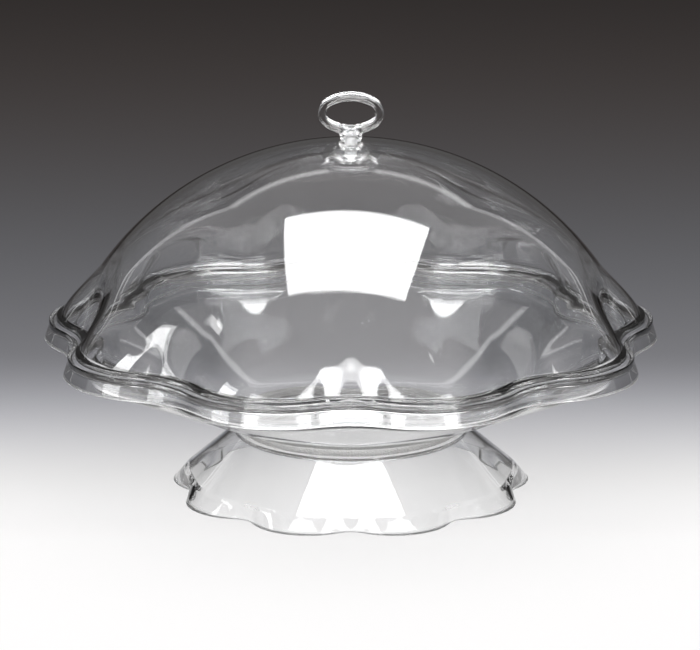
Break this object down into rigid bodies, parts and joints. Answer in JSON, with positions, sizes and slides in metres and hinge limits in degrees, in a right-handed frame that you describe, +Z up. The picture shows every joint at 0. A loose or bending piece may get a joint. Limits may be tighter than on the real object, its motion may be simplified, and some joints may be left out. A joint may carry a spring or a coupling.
{
  "type": "covered fruit stand",
  "caption": "Clear scalloped fruit bowl on a flared foot, with a lift-off dome cover that has an upright ring handle.",
  "frame": {"origin": "centre of the foot's base, in the plane that rests on the table and on the axis of the bowl and cover", "axes": "+Z up along the axis of the bowl and cover; -Y to the front, through a notch between two lobes; +X to the right seen from the front"},
  "size_m": [0.396, 0.392, 0.2604],
  "materials": {
    "cover_plastic": "clear, polished",
    "handle_plastic": "clear, polished, solid",
    "bowl_plastic": "clear, polished",
    "textured_plastic": "clear, fine moulded texture",
    "foot_plastic": "clear, polished"
  },
  "bodies": {
    "stand": {"fruit_bowl": "bowl_plastic", "joint_ring": "textured_plastic", "pedestal_foot": "foot_plastic"},
    "cover": {"dome_cover": "cover_plastic", "ring_handle": "handle_plastic", "handle_plug": "handle_plastic"}
  },
  "joints": [
    {"name": "cover_lift", "type": "slide", "parent": "stand", "child": "cover", "axis": [0, 0, 1], "range_m": [0, 0.2]}
  ]
}
